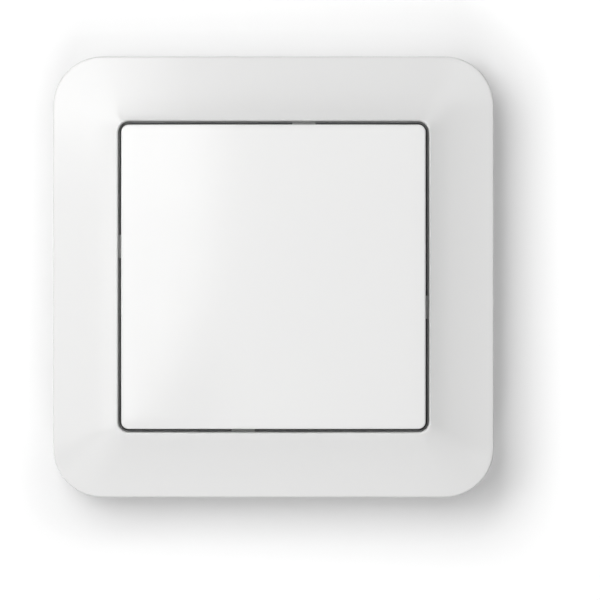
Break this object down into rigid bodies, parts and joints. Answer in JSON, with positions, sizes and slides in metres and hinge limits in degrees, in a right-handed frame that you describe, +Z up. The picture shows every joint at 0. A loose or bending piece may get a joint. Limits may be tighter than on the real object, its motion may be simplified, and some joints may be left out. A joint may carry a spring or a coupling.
{
  "type": "wireless remote wall switch",
  "caption": "Square wall switch with a large tilting rocker in a dished cover frame, over a battery radio module that clips into a screw-on wall plate.",
  "frame": {"origin": "the middle of the wall plate's screw pattern, on the wall", "axes": "+Z up the wall, +X to the right seen from the room, +Y into the wall, so the face looks along -Y"},
  "size_m": [0.08, 0.0142, 0.08],
  "materials": {
    "plate_white": "fine satin grain",
    "foam": "fine-celled foam",
    "frame_white": "polished",
    "rocker_white": "polished",
    "shell_grey": "fine texture",
    "carrier_grey": "fine texture",
    "board_green": "solder mask",
    "cell_steel": "nickel plated",
    "contact_steel": "nickel plated sheet",
    "leaf_brass": "spring bronze",
    "chip_black": "moulded epoxy",
    "chip_tan": "ceramic",
    "capacitor_ochre": "moulded epoxy",
    "led_white": "clear epoxy on white",
    "plunger_natural": "natural acetal",
    "button_grey": "moulded"
  },
  "bodies": {
    "switch_body": {"wall_plate": "plate_white", "adhesive_pads": "foam", "cover_frame": "frame_white", "rear_shell": "shell_grey", "carrier_plate": "carrier_grey", "circuit_board": "board_green", "coin_cell": "cell_steel", "battery_positive_clip": "contact_steel", "battery_negative_spring": "contact_steel", "contact_leaf_top": "leaf_brass", "contact_leaf_bottom": "leaf_brass", "radio_chip": "chip_black", "controller_chip": "chip_black", "crystal": "contact_steel", "storage_capacitor": "capacitor_ochre", "chip_components": "chip_tan", "status_led": "led_white", "sheet_antenna": "contact_steel", "pairing_switch_base": "chip_black", "pairing_switch_cover": "contact_steel"},
    "rocker": {"rocker": "rocker_white"},
    "upper_plunger": {"key_plunger_top": "plunger_natural"},
    "lower_plunger": {"key_plunger_bottom": "plunger_natural"},
    "pairing_button": {"pairing_button": "button_grey"}
  },
  "joints": [
    {"name": "rocker_tilt", "type": "hinge", "parent": "switch_body", "child": "rocker", "pos_m": [0, -0.01093, 0], "axis": [1, 0, 0], "range_deg": [-2.2, 2.2], "stiffness_Nm_per_rad": 1},
    {"name": "upper_plunger_slide", "type": "slide", "parent": "switch_body", "child": "upper_plunger", "axis": [0, 1, 0], "range_m": [-0.00065, 0.00065], "deforming": ["contact_leaf_top"]},
    {"name": "lower_plunger_slide", "type": "slide", "parent": "switch_body", "child": "lower_plunger", "axis": [0, 1, 0], "range_m": [-0.00065, 0.00065], "deforming": ["contact_leaf_bottom"]},
    {"name": "pairing_button_press", "type": "slide", "parent": "switch_body", "child": "pairing_button", "axis": [0, 1, 0], "range_m": [0, 0.00025], "stiffness_N_per_m": 2000}
  ],
  "couplings": [
    {"joint": "upper_plunger_slide", "follows": "rocker_tilt", "m_per_rad": -0.016996},
    {"joint": "lower_plunger_slide", "follows": "rocker_tilt", "m_per_rad": 0.016996}
  ]
}
